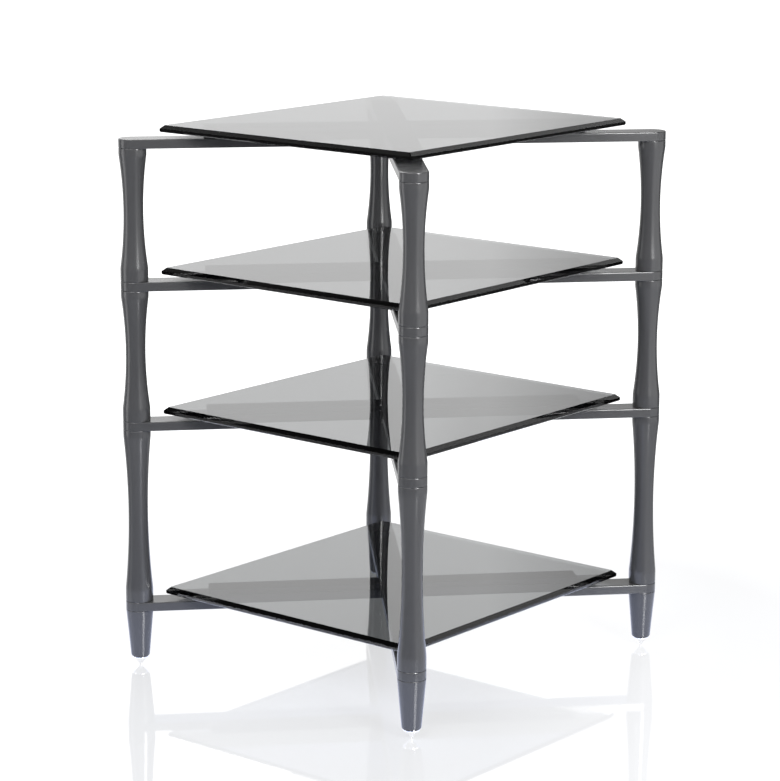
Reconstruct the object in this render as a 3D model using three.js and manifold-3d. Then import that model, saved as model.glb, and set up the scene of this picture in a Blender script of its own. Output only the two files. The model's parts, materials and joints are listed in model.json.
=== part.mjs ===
// A four-tier rack for audio equipment. Smoked glass shelves lie on crossed bars, and the round ends
// of the bars are clamped between waisted columns that stack up into four legs on levelling spikes.
// Millimetres, +Z up. The origin is on the floor, under the middle of the rack. The front faces -Y.

import * as THREE from 'three';
import { mergeVertices } from 'three/addons/utils/BufferGeometryUtils.js';
import Module from 'manifold-3d';

const wasm = await Module();
wasm.setup();

// Plan of the rack, from leg axis to leg axis
const legSpacingX = 662;
const legSpacingY = 616;

// Heights of the columns between the bars, from the top tier down
const upperColumnLength = 230;
const lowerColumnLength = 309;
const columnLengths = [upperColumnLength, upperColumnLength, lowerColumnLength];

// Columns: a round collar at each end, the lower one longer, and one long waist between them
const collarDiameter = 48;
const upperCollarLength = 12;
const lowerCollarLength = 22;
const waistDiameter = 34.2;
const rimChamfer = 1.2;

// Feet: they taper from the collar's width right down to the spike
const footLength = 87;
const footTipDiameter = 32.4;
const footTipRound = 4;

// Levelling spikes: a low polished cone on a threaded stem
const spikeHeight = 16;
const spikeDiameter = 27;
const spikeRimHeight = 2.5;
const spikeTipDiameter = 3;
const spikeNeckHollow = 1.2;
const stemDiameter = 10;
const stemLength = 34;

// Crossbars: flat bars with round ends that sit between the columns
const barThickness = 16;
const barWidth = 48;
const barTopRound = 2.5;
const barFootRound = 1.5;

// Rest strips: soft strips glued along the bars, which hold the glass clear of the bar ends
const stripThickness = 9.4;
const stripWidth = 45;
const stripEndFromLeg = 123;
const stripCornerRadius = 3;
const stripEdgeRound = 1;
const glueLine = 0.3;

// Shelves: plates of smoked glass with a wide bevel round the top edge
const glassWidth = 600;
const glassDepth = 550;
const glassThickness = 12;
const glassBevelWidth = 6.5;
const glassBevelHeight = 6;
const glassArris = 1.7;
const glassCornerRadius = 3;
const glassBevelCornerRadius = 0.8;
const glassSeatGap = 0.3;

// Threaded studs inside the legs
const studDiameter = 10;
const studReach = 22;
const studTopReach = 11;
const studChamfer = 1;

// Clearances
const boreClearance = 0.3;
const boreEndClearance = 0.8;
const lapClearance = 0.3;
const cutOverrun = 1;

// Facets
const legSides = 24;
const boreSides = 8;
const waistRows = 6;
const roundRows = 2;
const barEndSides = 12;
const stripCornerSides = 2;
const glassCornerSides = 3;

// Colours and finishes
const anthracite = new THREE.MeshStandardMaterial({ color: 0x5a5a5d, roughness: 0.42, metalness: 0.55 });
const smokedGlass = new THREE.MeshStandardMaterial({ color: 0x14161a, roughness: 0.05, metalness: 0 });
const softStrip = new THREE.MeshStandardMaterial({ color: 0x1b1b1c, roughness: 0.85, metalness: 0 });
const polishedSteel = new THREE.MeshStandardMaterial({ color: 0xdcdde0, roughness: 0.12, metalness: 1 });
const zincSteel = new THREE.MeshStandardMaterial({ color: 0x9a9ca0, roughness: 0.4, metalness: 1 });

// Solids: closed meshes with shared corners and their faces pointing out

function signedVolume(positions, triangles) {
  const corner = (i) => new THREE.Vector3().fromArray(positions, 3 * i);
  let volume = 0;
  for (let i = 0; i < triangles.length; i += 3) {
    const [p, q, r] = [triangles[i], triangles[i + 1], triangles[i + 2]].map(corner);
    volume += p.dot(q.cross(r)) / 6;
  }
  return volume;
}

function toSolid(geometry) {
  geometry.deleteAttribute('normal');
  geometry.deleteAttribute('uv');
  const merged = mergeVertices(geometry);
  const positions = merged.attributes.position.array;
  const triangles = [];
  for (let i = 0; i < merged.index.count; i += 3) {
    const face = [0, 1, 2].map((k) => merged.index.array[i + k]);
    if (new Set(face).size === 3) triangles.push(...face);
  }
  if (signedVolume(positions, triangles) < 0) triangles.reverse();
  const mesh = new wasm.Mesh({
    numProp: 3,
    vertProperties: new Float32Array(positions),
    triVerts: new Uint32Array(triangles),
  });
  return new wasm.Manifold(mesh);
}

function toGeometry(solid) {
  const mesh = solid.getMesh();
  const geometry = new THREE.BufferGeometry();
  geometry.setAttribute('position', new THREE.BufferAttribute(new Float32Array(mesh.vertProperties), 3));
  geometry.setIndex(new THREE.BufferAttribute(new Uint32Array(mesh.triVerts), 1));
  geometry.computeVertexNormals();
  return geometry;
}

// A body turned about Z from a profile of [radius, height] pairs that starts and ends on the axis
function turned(profile, sides) {
  const points = profile.map(([radius, height]) => new THREE.Vector2(radius, height));
  return toSolid(new THREE.LatheGeometry(points, sides).rotateX(Math.PI / 2));
}

// A body lofted through level outlines, each a convex ring of [x, y] pairs at its height
function lofted(levels) {
  const count = levels[0].ring.length;
  const positions = levels.flatMap(({ ring, z }) => ring.flatMap(([x, y]) => [x, y, z]));
  const triangles = [];
  for (let level = 0; level + 1 < levels.length; level += 1) {
    for (let i = 0; i < count; i += 1) {
      const [a, b] = [level * count + i, level * count + ((i + 1) % count)];
      triangles.push(a, b, b + count, a, b + count, a + count);
    }
  }
  const top = (levels.length - 1) * count;
  for (let i = 1; i + 1 < count; i += 1) {
    triangles.push(0, i + 1, i);
    triangles.push(top, top + i, top + i + 1);
  }
  const geometry = new THREE.BufferGeometry();
  geometry.setAttribute('position', new THREE.Float32BufferAttribute(positions, 3));
  geometry.setIndex(triangles);
  return toSolid(geometry);
}

// A rectangle with rounded corners, as a ring that runs anticlockwise
function roundedRectangle(length, width, radius, sidesPerCorner) {
  const ring = [];
  [[1, 1], [-1, 1], [-1, -1], [1, -1]].forEach(([sx, sy], corner) => {
    for (let i = 0; i <= sidesPerCorner; i += 1) {
      const angle = (corner + i / sidesPerCorner) * Math.PI / 2;
      const x = sx * (length / 2 - radius) + radius * Math.cos(angle);
      const y = sy * (width / 2 - radius) + radius * Math.sin(angle);
      ring.push([x, y]);
    }
  });
  return ring;
}

// A plate whose edges are eased at the foot and at the top
function easedPlate(length, width, radius, sidesPerCorner, thickness, footEase, topEase) {
  const inset = (ease) => roundedRectangle(
    length - 2 * ease, width - 2 * ease, Math.max(radius - ease, radius / 2), sidesPerCorner,
  );
  return lofted([
    { ring: inset(footEase), z: 0 },
    { ring: inset(0), z: footEase },
    { ring: inset(0), z: thickness - topEase },
    { ring: inset(topEase), z: thickness },
  ]);
}

function cylinder(radius, from, to) {
  return turned([[0, from], [radius, from], [radius, to], [0, to]], boreSides);
}

function box(length, width, from, to) {
  const geometry = new THREE.BoxGeometry(length, width, to - from);
  return toSolid(geometry.translate(0, 0, (from + to) / 2));
}

const studBoreRadius = studDiameter / 2 + boreClearance;
const stemBoreRadius = stemDiameter / 2 + boreClearance;
const studBoreDepth = studReach + boreEndClearance;
const stemBoreDepth = stemLength + boreEndClearance;

// Columns

function waistArc(from, to) {
  const halfLength = (to - from) / 2;
  const swell = (collarDiameter - waistDiameter) / 2;
  const curve = (halfLength ** 2 + swell ** 2) / (2 * swell);
  const points = [];
  for (let row = 0; row <= waistRows; row += 1) {
    const offset = halfLength * (2 * row / waistRows - 1);
    const radius = waistDiameter / 2 + curve - Math.sqrt(curve ** 2 - offset ** 2);
    points.push([radius, from + halfLength + offset]);
  }
  return points;
}

function columnSolid(length) {
  const rim = collarDiameter / 2;
  const body = turned([
    [0, 0],
    [rim - rimChamfer, 0],
    [rim, rimChamfer],
    ...waistArc(lowerCollarLength, length - upperCollarLength),
    [rim, length - rimChamfer],
    [rim - rimChamfer, length],
    [0, length],
  ], legSides);
  return body
    .subtract(cylinder(studBoreRadius, -cutOverrun, studBoreDepth))
    .subtract(cylinder(studBoreRadius, length - studBoreDepth, length + cutOverrun));
}

// Feet, measured up from the face that the spike meets

function footSolid() {
  const rim = collarDiameter / 2;
  const tip = footTipDiameter / 2;
  const taperTop = footLength - rimChamfer;
  const radiusAt = (height) => tip + (rim - tip) * (height / taperTop);
  const profile = [[0, 0]];
  for (let row = 0; row <= roundRows; row += 1) {
    const angle = (row / roundRows) * Math.PI / 2;
    const easedRadius = radiusAt(footTipRound) - footTipRound * (1 - Math.sin(angle));
    profile.push([easedRadius, footTipRound * (1 - Math.cos(angle))]);
  }
  profile.push([rim, taperTop], [rim - rimChamfer, footLength], [0, footLength]);
  return turned(profile, legSides)
    .subtract(cylinder(stemBoreRadius, -cutOverrun, stemBoreDepth))
    .subtract(cylinder(studBoreRadius, footLength - studBoreDepth, footLength + cutOverrun));
}

// Spikes, measured up from the floor

function spikeSolid() {
  const rim = spikeDiameter / 2;
  const tip = spikeTipDiameter / 2;
  const coneTop = spikeHeight - spikeRimHeight;
  const stem = stemDiameter / 2;
  const middle = [(rim + tip) / 2 - spikeNeckHollow, coneTop / 2];
  const top = spikeHeight + stemLength;
  const cone = turned([
    [0, 0],
    [tip, 0],
    middle,
    [rim, coneTop],
    [rim, spikeHeight],
    [0, spikeHeight],
  ], legSides);
  const thread = turned([
    [0, coneTop],
    [stem, coneTop],
    [stem, top - studChamfer],
    [stem - studChamfer, top],
    [0, top],
  ], boreSides);
  return cone.add(thread);
}

// Studs, measured from the underside of the bar that they pass through

function studSolid(reachAbove) {
  const radius = studDiameter / 2;
  return turned([
    [0, -studReach],
    [radius - studChamfer, -studReach],
    [radius, studChamfer - studReach],
    [radius, reachAbove - studChamfer],
    [radius - studChamfer, reachAbove],
    [0, reachAbove],
  ], boreSides);
}

// Crossbars and rest strips: each pair is halved where it crosses, so that both tops lie level

const diagonalLength = Math.hypot(legSpacingX, legSpacingY);
const diagonalAngle = Math.atan2(legSpacingY, legSpacingX);
const layers = [
  { name: 'lower', angle: diagonalAngle, cutFrom: 0.5, cutTo: 1 },
  { name: 'upper', angle: -diagonalAngle, cutFrom: 0, cutTo: 0.5 },
];

function lapCutter(layer, width, thickness) {
  const cutWidth = width + 2 * lapClearance;
  const from = layer.cutFrom === 0 ? -cutOverrun : layer.cutFrom * thickness;
  const to = layer.cutTo === 1 ? thickness + cutOverrun : layer.cutTo * thickness;
  const crossing = THREE.MathUtils.radToDeg(-2 * layer.angle);
  return box(3 * width, cutWidth, from, to).rotate([0, 0, crossing]);
}

function crossbarSolid(layer, isTopTier) {
  const length = diagonalLength + barWidth;
  const outline = (ease) => roundedRectangle(
    length - 2 * ease, barWidth - 2 * ease, barWidth / 2 - ease, barEndSides / 2,
  );
  let bar = lofted([
    { ring: outline(barFootRound), z: 0 },
    { ring: outline(0), z: barFootRound },
    { ring: outline(0), z: barThickness - barTopRound },
    { ring: outline(barTopRound), z: barThickness },
  ]);
  const boreTop = isTopTier ? studTopReach + boreEndClearance : barThickness + cutOverrun;
  for (const end of [-1, 1]) {
    const bore = cylinder(studBoreRadius, -cutOverrun, boreTop)
      .rotate([0, 0, THREE.MathUtils.radToDeg(-layer.angle)])
      .translate([end * diagonalLength / 2, 0, 0]);
    bar = bar.subtract(bore);
  }
  return bar.subtract(lapCutter(layer, barWidth, barThickness));
}

function restStripSolid(layer) {
  const length = diagonalLength - 2 * stripEndFromLeg;
  const strip = easedPlate(
    length, stripWidth, stripCornerRadius, stripCornerSides, stripThickness, stripEdgeRound, stripEdgeRound,
  );
  return strip.subtract(lapCutter(layer, stripWidth, stripThickness));
}

// Glass shelves

function glassSolid() {
  const plate = (inset, radius) => roundedRectangle(
    glassWidth - 2 * inset, glassDepth - 2 * inset, radius, glassCornerSides,
  );
  return lofted([
    { ring: plate(glassArris, glassCornerRadius), z: 0 },
    { ring: plate(0, glassCornerRadius), z: glassArris },
    { ring: plate(0, glassCornerRadius), z: glassThickness - glassBevelHeight },
    { ring: plate(glassBevelWidth, glassBevelCornerRadius), z: glassThickness },
  ]);
}

// Heights: the underside of each tier's bars, from the bottom tier up to the top one

const tierCount = columnLengths.length + 1;
const tierBases = new Array(tierCount);
tierBases[tierCount - 1] = spikeHeight + footLength;
for (let tier = tierCount - 2; tier >= 0; tier -= 1) {
  tierBases[tier] = tierBases[tier + 1] + barThickness + columnLengths[tier];
}

const legPlaces = [
  { name: 'front_left', x: -legSpacingX / 2, y: -legSpacingY / 2 },
  { name: 'front_right', x: legSpacingX / 2, y: -legSpacingY / 2 },
  { name: 'back_left', x: -legSpacingX / 2, y: legSpacingY / 2 },
  { name: 'back_right', x: legSpacingX / 2, y: legSpacingY / 2 },
];

function named(name, geometry, material) {
  const mesh = new THREE.Mesh(geometry, material);
  mesh.name = name;
  return mesh;
}

// Each shape is made once and shared by the pieces that repeat it

const columnShapes = new Map([upperColumnLength, lowerColumnLength].map(
  (length) => [length, toGeometry(columnSolid(length))],
));
const footShape = toGeometry(footSolid());
const spikeShape = toGeometry(spikeSolid());
const topStudShape = toGeometry(studSolid(studTopReach));
const throughStudShape = toGeometry(studSolid(barThickness + studReach));
const glassShape = toGeometry(glassSolid());

function leg({ name, x, y }) {
  const group = new THREE.Group();
  group.position.set(x, y, 0);
  group.add(named(`spike_${name}`, spikeShape, polishedSteel));
  const foot = named(`foot_${name}`, footShape, anthracite);
  foot.position.z = spikeHeight;
  group.add(foot);
  columnLengths.forEach((length, tier) => {
    const column = named(`column_${name}_${tier + 1}`, columnShapes.get(length), anthracite);
    column.position.z = tierBases[tier] - length;
    group.add(column);
  });
  tierBases.forEach((base, tier) => {
    const shape = tier === 0 ? topStudShape : throughStudShape;
    const stud = named(`stud_${name}_${tier + 1}`, shape, zincSteel);
    stud.position.z = base;
    group.add(stud);
  });
  return group;
}

function tierGroup(base, tier) {
  const group = new THREE.Group();
  group.position.z = base;
  for (const layer of layers) {
    const bar = named(
      `crossbar_${layer.name}_${tier + 1}`, toGeometry(crossbarSolid(layer, tier === 0)), anthracite,
    );
    bar.rotation.z = layer.angle;
    const strip = named(`rest_strip_${layer.name}_${tier + 1}`, toGeometry(restStripSolid(layer)), softStrip);
    strip.rotation.z = layer.angle;
    strip.position.z = barThickness + glueLine;
    group.add(bar, strip);
  }
  const glass = named(`glass_shelf_${tier + 1}`, glassShape, smokedGlass);
  glass.position.z = barThickness + glueLine + stripThickness + glassSeatGap;
  group.add(glass);
  return group;
}

const rack = new THREE.Group();
rack.add(...legPlaces.map(leg));
rack.add(...tierBases.map(tierGroup));

export default rack;
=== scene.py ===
# %% [markdown]
# # An audio rack in anthracite and smoked glass
#
# Four crossed pairs of flat bars are clamped between waisted columns, and a bevelled glass shelf
# lies on each pair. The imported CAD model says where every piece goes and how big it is. This lesson
# rebuilds the visible pieces with rounder edges, smooth turned forms and real threads, and gives
# each one its finish. Lengths are metres, +Z is up, and the front of the rack faces -Y.

# %% Load the frame
import json
import math

import bmesh
import bpy
from mathutils import Matrix, Quaternion, Vector

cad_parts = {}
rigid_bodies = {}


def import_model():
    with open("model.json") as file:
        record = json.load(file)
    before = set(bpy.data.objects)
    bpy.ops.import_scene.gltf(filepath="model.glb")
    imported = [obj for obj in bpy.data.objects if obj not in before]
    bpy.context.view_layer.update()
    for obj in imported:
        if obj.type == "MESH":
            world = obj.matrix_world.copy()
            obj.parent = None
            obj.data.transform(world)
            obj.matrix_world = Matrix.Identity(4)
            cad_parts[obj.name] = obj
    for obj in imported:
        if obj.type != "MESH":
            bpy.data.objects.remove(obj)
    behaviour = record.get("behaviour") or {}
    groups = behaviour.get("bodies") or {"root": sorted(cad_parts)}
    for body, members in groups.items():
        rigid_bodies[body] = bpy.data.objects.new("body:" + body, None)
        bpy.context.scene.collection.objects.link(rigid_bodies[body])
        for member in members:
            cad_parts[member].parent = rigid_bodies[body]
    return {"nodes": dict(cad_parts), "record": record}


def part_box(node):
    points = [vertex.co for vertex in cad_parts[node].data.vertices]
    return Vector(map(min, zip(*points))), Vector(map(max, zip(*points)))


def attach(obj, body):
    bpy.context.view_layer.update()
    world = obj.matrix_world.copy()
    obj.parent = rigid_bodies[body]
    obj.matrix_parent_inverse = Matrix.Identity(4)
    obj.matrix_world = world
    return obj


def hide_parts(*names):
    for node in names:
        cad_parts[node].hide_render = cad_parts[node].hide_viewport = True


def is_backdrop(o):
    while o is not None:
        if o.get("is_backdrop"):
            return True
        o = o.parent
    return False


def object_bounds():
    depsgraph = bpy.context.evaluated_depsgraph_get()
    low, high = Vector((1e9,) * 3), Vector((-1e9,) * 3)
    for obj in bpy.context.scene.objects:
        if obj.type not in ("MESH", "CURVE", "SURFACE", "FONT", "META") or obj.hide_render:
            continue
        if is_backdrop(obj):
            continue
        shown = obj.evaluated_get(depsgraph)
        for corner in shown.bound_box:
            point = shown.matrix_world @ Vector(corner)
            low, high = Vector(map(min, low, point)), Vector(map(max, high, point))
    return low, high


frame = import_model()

MM = 0.001
cad_low, cad_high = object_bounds()
nodes_of_body = frame["record"]["behaviour"]["bodies"]
body_of_node = {node: body for body, nodes in nodes_of_body.items() for node in nodes}
print("CAD box", [round(v, 4) for v in cad_high - cad_low], "with", len(frame["nodes"]), "nodes")

# %% [markdown]
# ## Where the legs stand
#
# Everything is measured from the four leg axes and from the heights of the tiers, and both are
# read from the frame. Tiers count from the top. Each has two crossed bars: the lower one lies in
# the lower half of the lap, and the upper one in the upper half.

# %% Legs and tiers
LEGS = ["front_left", "front_right", "back_left", "back_right"]
TIERS = [1, 2, 3, 4]
LAYERS = {"lower": ("front_left", "back_right"), "upper": ("back_left", "front_right")}


def middle(node):
    """The middle of a node's box at rest."""
    low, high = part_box(node)
    return (low + high) / 2


leg_axes = {leg: middle(f"foot_{leg}").xy.to_3d() for leg in LEGS}
print("legs", {leg: [round(v, 3) for v in place] for leg, place in leg_axes.items()})

# %% [markdown]
# ## The camera
#
# The photograph was taken from a little above the top shelf, with a long lens from about five
# metres, at the leg that stands nearest. The place, the aim and the lens below were fitted to the
# seams, leg axes and shelf corners of the picture. Picture shift is left at zero, so that every
# other view of the rack stays centred.

# %% Camera
CAMERA_PLACE = Vector((-3.807, -3.101, 1.564))
AIM_ROUND = math.radians(39.255)
AIM_DOWN = math.radians(12.407)
CAMERA_ROLL = math.radians(0.171)
LENS_MM = 131.9


def direction(turn, tilt):
    """The unit vector at an angle round from +X, and at an angle above the level."""
    return Vector((math.cos(turn) * math.cos(tilt), math.sin(turn) * math.cos(tilt), math.sin(tilt)))


def link(piece):
    """Puts an object in the scene."""
    bpy.context.scene.collection.objects.link(piece)
    return piece


camera = link(bpy.data.objects.new("camera", bpy.data.cameras.new("camera")))
camera.data.lens = LENS_MM
camera.location = CAMERA_PLACE
camera.rotation_mode = "QUATERNION"
aim = direction(AIM_ROUND, -AIM_DOWN).to_track_quat("-Z", "Y")
camera.rotation_quaternion = aim @ Quaternion((0, 0, 1), CAMERA_ROLL)
bpy.context.scene.camera = camera
print("camera", round(CAMERA_PLACE.length, 2), "m from the origin, lens", LENS_MM, "mm")

# %% [markdown]
# ## The stage
#
# The rack stands on a plain white gloss floor, with nothing behind it. The floor gives back light
# as a white floor does. Where the camera, a mirror or glass looks at it, part of that white comes
# from a glow of its own instead, so that it stays white where the lamps no longer reach. What is
# left of its own colour there still takes a soft shadow, and its gloss mirrors the legs.

# %% Node helpers
def add_node(tree, kind, **settings):
    """A new node with its properties and its sockets set: socket names are given with spaces as _."""
    node = tree.nodes.new("ShaderNode" + kind)
    sockets = {socket.name: socket for socket in reversed(node.inputs)}
    for name, value in settings.items():
        if hasattr(node, name):
            setattr(node, name, value)
        else:
            sockets[name.replace("_", " ")].default_value = value
    return node


def feed(tree, sockets, values):
    """Links or sets each socket in turn, from a socket or from a plain value."""
    for socket, value in zip(sockets, values):
        if isinstance(value, bpy.types.NodeSocket):
            tree.links.new(value, socket)
        else:
            socket.default_value = value


def combine(tree, operation, first, second):
    """A Math node on two values, each a socket or a number."""
    node = add_node(tree, "Math", operation=operation)
    feed(tree, node.inputs, (first, second))
    return node.outputs[0]


def combine_vectors(tree, operation, *vectors):
    """A Vector Math node on vectors, each a socket or three numbers."""
    node = add_node(tree, "VectorMath", operation=operation)
    feed(tree, node.inputs, vectors)
    return node.outputs["Value" if operation in ("DOT_PRODUCT", "LENGTH") else "Vector"]


def spread(tree, value, from_min, from_max, to_min, to_max):
    """Maps a range of a value to another range, and holds it at both ends."""
    ends = {"From_Min": from_min, "From_Max": from_max, "To_Min": to_min, "To_Max": to_max}
    node = add_node(tree, "MapRange", **ends)
    tree.links.new(value, node.inputs["Value"])
    return node.outputs["Result"]


def blend_colours(tree, factor, low, high, target=None):
    """A colour between low and high, by the factor, put into the target socket if there is one."""
    mix = add_node(tree, "Mix", data_type="RGBA")
    tree.links.new(factor, mix.inputs["Factor"])
    ends = [end if isinstance(end, bpy.types.NodeSocket) else (*end, 1) for end in (low, high)]
    feed(tree, [socket for socket in mix.inputs if socket.type == "RGBA"], ends)
    blended = next(socket for socket in mix.outputs if socket.type == "RGBA")
    if target:
        tree.links.new(blended, target)
    return blended


print("node helpers ready")

# %% [markdown]
# The white backdrop stands behind the rack, seen from the camera, and the rest of the studio is
# dim. Floor and world share one test of how far round a direction looks. Light that falls on
# things is kept apart from what is seen directly, so that a white picture doesn't flood the rack.

# %% Backdrop
BACKDROP_TURN = math.radians(67)
BACKDROP_EDGE, BACKDROP_CORE = 0.822, 0.868
STUDIO_DIM = 0.18


def seen_directly(tree):
    """1 for what the camera, a mirror or glass sees, and 0 for the light that falls on things."""
    path = add_node(tree, "LightPath").outputs
    mirrored = combine(tree, "MAXIMUM", path["Is Glossy Ray"], path["Is Transmission Ray"])
    seen = combine(tree, "MAXIMUM", path["Is Camera Ray"], mirrored)
    return combine(tree, "MULTIPLY", seen, combine(tree, "LESS_THAN", path["Diffuse Depth"], 1))


def backdrop_share(tree, sight):
    """1 in the level directions that look at the backdrop, falling to 0 past its edge."""
    level = combine_vectors(tree, "MULTIPLY", sight, (1, 1, 0))
    unit = combine_vectors(tree, "NORMALIZE", level)
    towards = combine_vectors(tree, "DOT_PRODUCT", unit, direction(BACKDROP_TURN, 0))
    return spread(tree, towards, BACKDROP_EDGE, BACKDROP_CORE, 0, 1)


half_angle = round(math.degrees(math.acos(BACKDROP_CORE)))
print("the backdrop is full white within", half_angle, "degrees of its middle")

# %% [markdown]
# Round each foot the floor does two more things, neither of which the camera sees. It gives off a
# cool glow, which the satin coat takes up as the bluish light low on the legs, and it is glossier,
# so that the lamp it mirrors draws a streak down each foot. Where the camera looks past the
# backdrop, some glow makes up for the white that the gloss no longer mirrors.

# %% Floor glow
FLOOR_REFRACTION = 1.75
LIT_RADIUS, DIM_RADIUS = 0.8, 1.9
GLOW, FAR_GLOW = 0.91, 1.4
PAST_BACKDROP_GLOW = 0.65
REMIRRORED_GLOW = 0.2
FOOT_RING_INNER = 0.045


def share_at_feet(tree, place, start, end):
    """1 on a ring of floor close round each foot, falling to 0 from a start to an end radius."""
    # Folding the four quarters of the floor onto one leaves a single foot to measure from.
    folded = combine_vectors(tree, "ABSOLUTE", place)
    from_leg = combine_vectors(tree, "SUBTRACT", folded, leg_axes["back_right"])
    radius = combine_vectors(tree, "LENGTH", from_leg)
    inner = spread(tree, radius, FOOT_RING_INNER / 2, FOOT_RING_INNER, 0, 1)
    outer = spread(tree, radius, start, end, 1, 0)
    return combine(tree, "MINIMUM", inner, outer)


def own_glow(tree, place, seen):
    """How brightly the floor glows by itself, where it is seen directly."""
    path = add_node(tree, "LightPath").outputs
    radius = combine_vectors(tree, "LENGTH", place)
    # Farther off, where the lamps fade, the camera sees a stronger glow.
    farther = spread(tree, radius, LIT_RADIUS, DIM_RADIUS, 0, FAR_GLOW - GLOW)
    glow = combine(tree, "ADD", GLOW, combine(tree, "MULTIPLY", farther, path["Is Camera Ray"]))
    # In mirrors the floor is only white near the rack and towards the backdrop, and in a mirror
    # image of a mirror image it is dim.
    near = spread(tree, radius, LIT_RADIUS, DIM_RADIUS, 1, 0)
    lit = combine(tree, "MAXIMUM", near, backdrop_share(tree, place))
    in_mirrors = spread(tree, lit, 0, 1, STUDIO_DIM, 1)
    once = spread(tree, path["Glossy Depth"], 1, 2, 1, REMIRRORED_GLOW)
    lost = combine(tree, "SUBTRACT", 1, combine(tree, "MULTIPLY", in_mirrors, once))
    dimming = combine(tree, "MULTIPLY", path["Is Glossy Ray"], lost)
    glow = combine(tree, "MULTIPLY", glow, combine(tree, "SUBTRACT", 1, dimming))
    # Where the gloss mirrors the white backdrop, the glow gives up as much as that adds.
    gloss = add_node(tree, "Fresnel", IOR=FLOOR_REFRACTION).outputs["Fac"]
    behind = backdrop_share(tree, combine_vectors(tree, "SUBTRACT", place, CAMERA_PLACE))
    taken = combine(tree, "MULTIPLY", gloss, spread(tree, behind, 0, 1, 1 - PAST_BACKDROP_GLOW, 1))
    glow = combine(tree, "MAXIMUM", combine(tree, "SUBTRACT", glow, taken), 0)
    return combine(tree, "MULTIPLY", seen, glow)


print("floor glow", GLOW, "near the rack and", FAR_GLOW, "farther off")

# %% [markdown]
# The material puts these together, on a plain square mesh. To the light that bounces off it, the
# floor is a cool pale grey. To what looks at it directly, its own colour is a dark grey, which the
# glow lifts to white.

# %% Floor
FLOOR_SIZE = 60.0
FLOOR_BOUNCE = (0.60, 0.64, 0.72)
FLOOR_SEEN = (0.17, 0.18, 0.20)
FLOOR_ROUGHNESS = 0.04
REFRACTION_AT_FEET = 1.85
FEET_GLOSS_START, FEET_GLOSS_END = 0.20, 0.50
FOOT_GLOW = (0.42, 0.52, 0.92)
FOOT_GLOW_START, FOOT_GLOW_END = 0.18, 0.48
BLACK = (0, 0, 0)


def floor_material():
    """A glossy floor: one colour for the light it gives back, another for sight, plus the glow."""
    material = bpy.data.materials.new("gloss floor")
    material.use_nodes = True
    tree = material.node_tree
    surface = tree.nodes["Principled BSDF"]
    surface.inputs["Roughness"].default_value = FLOOR_ROUGHNESS
    surface.inputs["Emission Strength"].default_value = 1
    path = add_node(tree, "LightPath").outputs
    place = add_node(tree, "TexCoord").outputs["Object"]
    seen = seen_directly(tree)
    blend_colours(tree, seen, FLOOR_BOUNCE, FLOOR_SEEN, surface.inputs["Base Color"])
    seen_clear = combine(tree, "MAXIMUM", path["Is Camera Ray"], path["Is Transmission Ray"])
    unseen = combine(tree, "SUBTRACT", 1, seen_clear)
    glossier = share_at_feet(tree, place, FEET_GLOSS_START, FEET_GLOSS_END)
    glossier = combine(tree, "MULTIPLY", unseen, glossier)
    above_one = spread(tree, glossier, 0, 1, FLOOR_REFRACTION - 1, REFRACTION_AT_FEET - 1)
    refraction = combine(tree, "ADD", 1, combine(tree, "MULTIPLY", seen, above_one))
    tree.links.new(refraction, surface.inputs["IOR"])
    glowing = share_at_feet(tree, place, FOOT_GLOW_START, FOOT_GLOW_END)
    glowing = combine(tree, "MULTIPLY", unseen, glowing)
    glow = own_glow(tree, place, seen)
    white_glow = add_node(tree, "CombineXYZ")
    feed(tree, white_glow.inputs, (glow, glow, glow))
    foot_glow = blend_colours(tree, glowing, BLACK, FOOT_GLOW)
    total = combine_vectors(tree, "ADD", white_glow.outputs["Vector"], foot_glow)
    tree.links.new(total, surface.inputs["Emission Color"])
    return material


floor_mesh = bmesh.new()
bmesh.ops.create_grid(floor_mesh, x_segments=1, y_segments=1, size=FLOOR_SIZE / 2)
floor = link(bpy.data.objects.new("floor", bpy.data.meshes.new("floor")))
floor_mesh.to_mesh(floor.data)
floor_mesh.free()
floor.data.materials.append(floor_material())
floor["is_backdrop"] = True
print("floor", FLOOR_SIZE, "m square")

# %% [markdown]
# ## Light
#
# A photographer lights a piece like this with a white backdrop behind it and soft boxes in front.
# So the world is plain white to the camera, and through glass near the level. In mirrors only the
# backdrop behind the rack is white, a little brighter higher up, and the ceiling and the camera's
# side are dim, which keeps the bevels of the glass dark. On the rack it is a low even fill.

# %% World
AMBIENT = 0.09
BACKDROP_HEIGHTS, BACKDROP_WHITES = (0.13, 0.23), (1.13, 1.28)
CEILING_START, CEILING_FULL = 0.34, 0.77
CEILING_DIM = 0.2


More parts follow.
